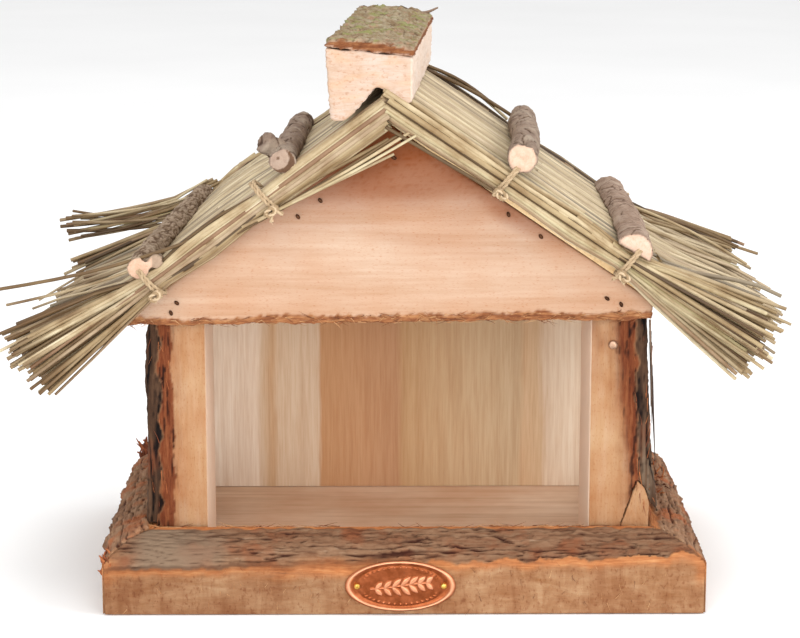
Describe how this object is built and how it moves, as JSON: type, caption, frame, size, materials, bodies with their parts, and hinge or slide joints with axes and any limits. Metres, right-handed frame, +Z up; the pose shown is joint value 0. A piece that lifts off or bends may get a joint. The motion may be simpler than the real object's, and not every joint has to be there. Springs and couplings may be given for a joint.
{
  "type": "bird table",
  "caption": "Rustic wooden bird table house with a bark-edged feeding tray, open front, boarded back, tied reed-thatch gable roof and notched ridge block.",
  "frame": {"origin": "middle of the base's flat underside", "axes": "+X to the right along the long side of the base and roof, +Y from the open front to the back wall, +Z up"},
  "size_m": [0.3965, 0.2076, 0.285],
  "materials": {
    "floor_wood": "planed softwood, weathered grey-tan",
    "rail_slab_wood": "waney-edged sawn slab with its bark on",
    "post_slab_wood": "rough sawn slab with its bark on",
    "pale_sawn_wood": "rough sawn pale softwood",
    "wall_wood": "planed softwood boards",
    "gable_wood": "sawn pinkish softwood",
    "roof_board": "thin plywood",
    "reed": "dried water reed stems",
    "stick_bark": "branch sticks with their bark on",
    "mossy_bark": "bark with grey-green moss",
    "twine": "jute twine",
    "nail_steel": "darkened wire nails",
    "nail_brass": "small brass pins",
    "badge_copper": "pressed copper-coloured sheet"
  },
  "bodies": {
    "root": {"badge": "badge_copper", "badge_nail_1": "nail_brass", "badge_nail_2": "nail_brass", "floor_board": "floor_wood", "gable_back": "gable_wood", "gable_back_brad_1": "nail_steel", "gable_back_brad_2": "nail_steel", "gable_back_brad_3": "nail_steel", "gable_back_brad_4": "nail_steel", "gable_front": "gable_wood", "gable_front_brad_1": "nail_steel", "gable_front_brad_10": "nail_steel", "gable_front_brad_2": "nail_steel", "gable_front_brad_3": "nail_steel", "gable_front_brad_4": "nail_steel", "gable_front_brad_5": "nail_steel", "gable_front_brad_6": "nail_steel", "gable_front_brad_7": "nail_steel", "gable_front_brad_8": "nail_steel", "gable_front_brad_9": "nail_steel", "post_front_left": "post_slab_wood", "post_front_right": "post_slab_wood", "post_nail": "nail_steel", "post_wedge": "pale_sawn_wood", "rail_back": "rail_slab_wood", "rail_front": "rail_slab_wood", "rail_left": "rail_slab_wood", "rail_right": "rail_slab_wood", "ridge_block": "pale_sawn_wood", "ridge_block_bark": "mossy_bark", "roof_board_left": "roof_board", "roof_board_right": "roof_board", "stick_left_lower": "stick_bark", "stick_left_upper": "stick_bark", "stick_right_lower": "stick_bark", "stick_right_upper": "stick_bark", "thatch_left": "reed", "thatch_right": "reed", "tie_back_left_lower": "twine", "tie_back_left_upper": "twine", "tie_back_right_lower": "twine", "tie_back_right_upper": "twine", "tie_front_left_lower": "twine", "tie_front_left_upper": "twine", "tie_front_right_lower": "twine", "tie_front_right_upper": "twine", "verge_back_left": "reed", "verge_back_right": "reed", "verge_front_left": "reed", "verge_front_right": "reed", "wall_board_1": "wall_wood", "wall_board_2": "wall_wood", "wall_board_3": "wall_wood", "wall_board_4": "wall_wood", "wall_board_5": "wall_wood"}
  },
  "joints": []
}
